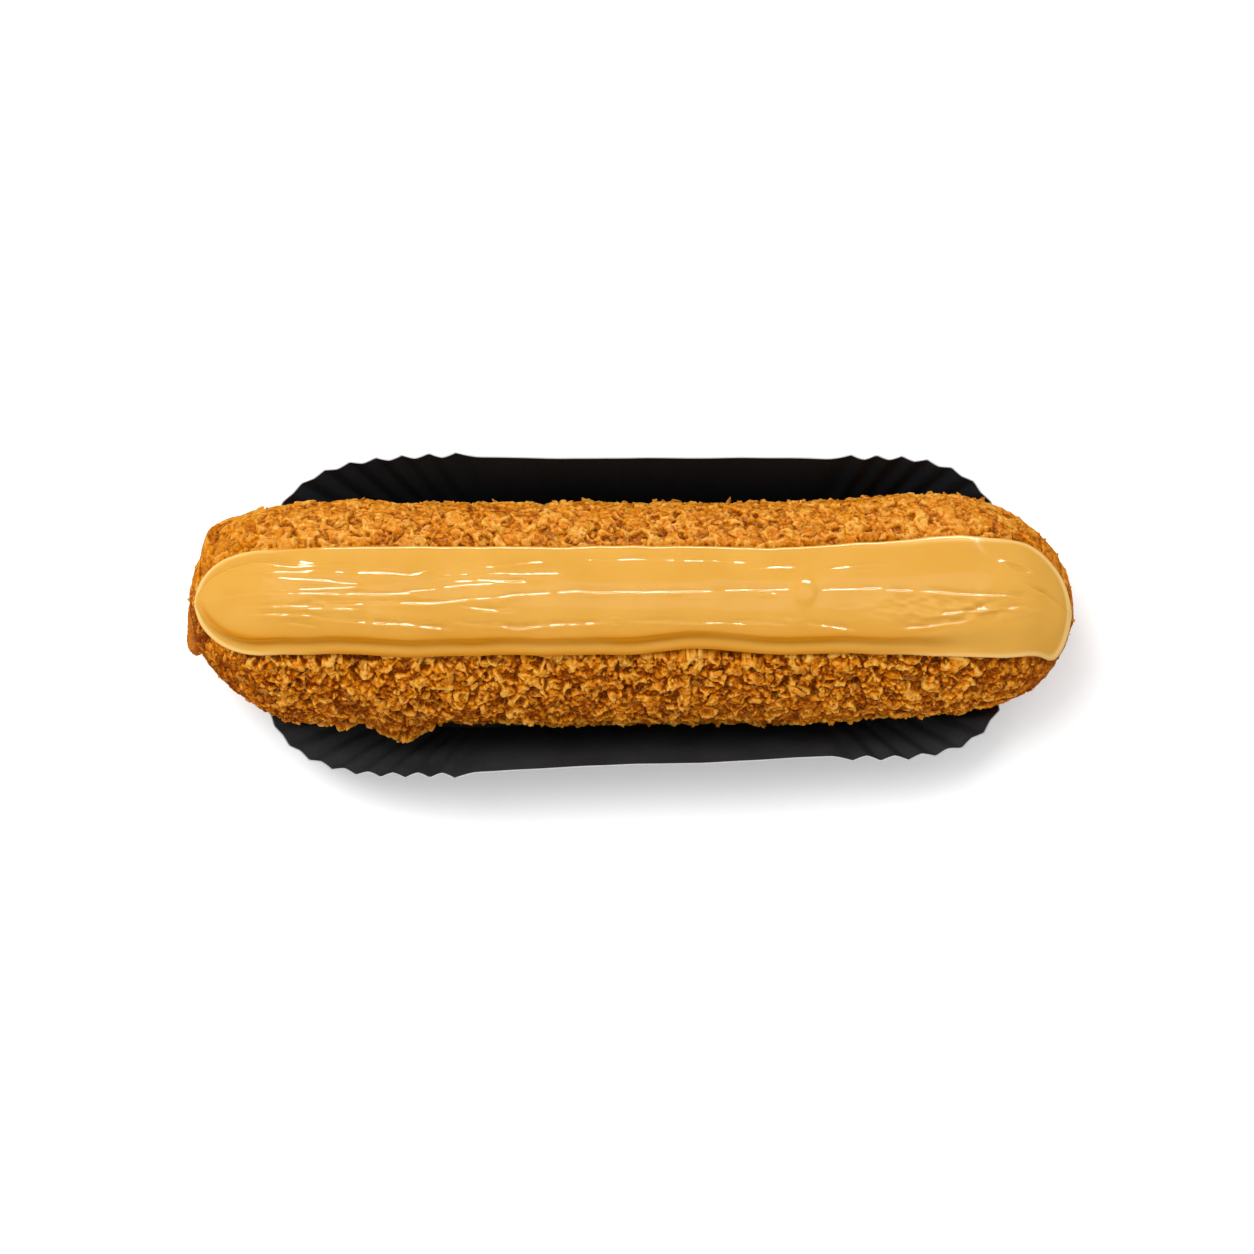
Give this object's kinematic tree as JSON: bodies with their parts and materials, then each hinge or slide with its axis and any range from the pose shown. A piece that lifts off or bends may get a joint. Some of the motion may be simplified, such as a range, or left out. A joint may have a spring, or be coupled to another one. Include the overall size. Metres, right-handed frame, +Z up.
{
  "type": "coffee eclair",
  "caption": "Long filled choux bun with a crumbly golden crust and a coffee icing on top, lying in a black pleated paper case.",
  "frame": {"origin": "under the middle of the paper case, on the surface that the case stands on", "axes": "+X along the eclair towards the end where the icing is widest, +Y to its back, +Z up out of the case"},
  "size_m": [0.1452, 0.0532, 0.0349],
  "materials": {
    "crust": "baked, craggy golden-brown crust with fine sugar gloss on its crumbs",
    "icing": "smooth glossy coffee-coloured fondant",
    "black_paper": "matt black pleated baking paper"
  },
  "bodies": {
    "root": {"bun": "crust", "icing": "icing", "paper_case": "black_paper"}
  },
  "joints": []
}
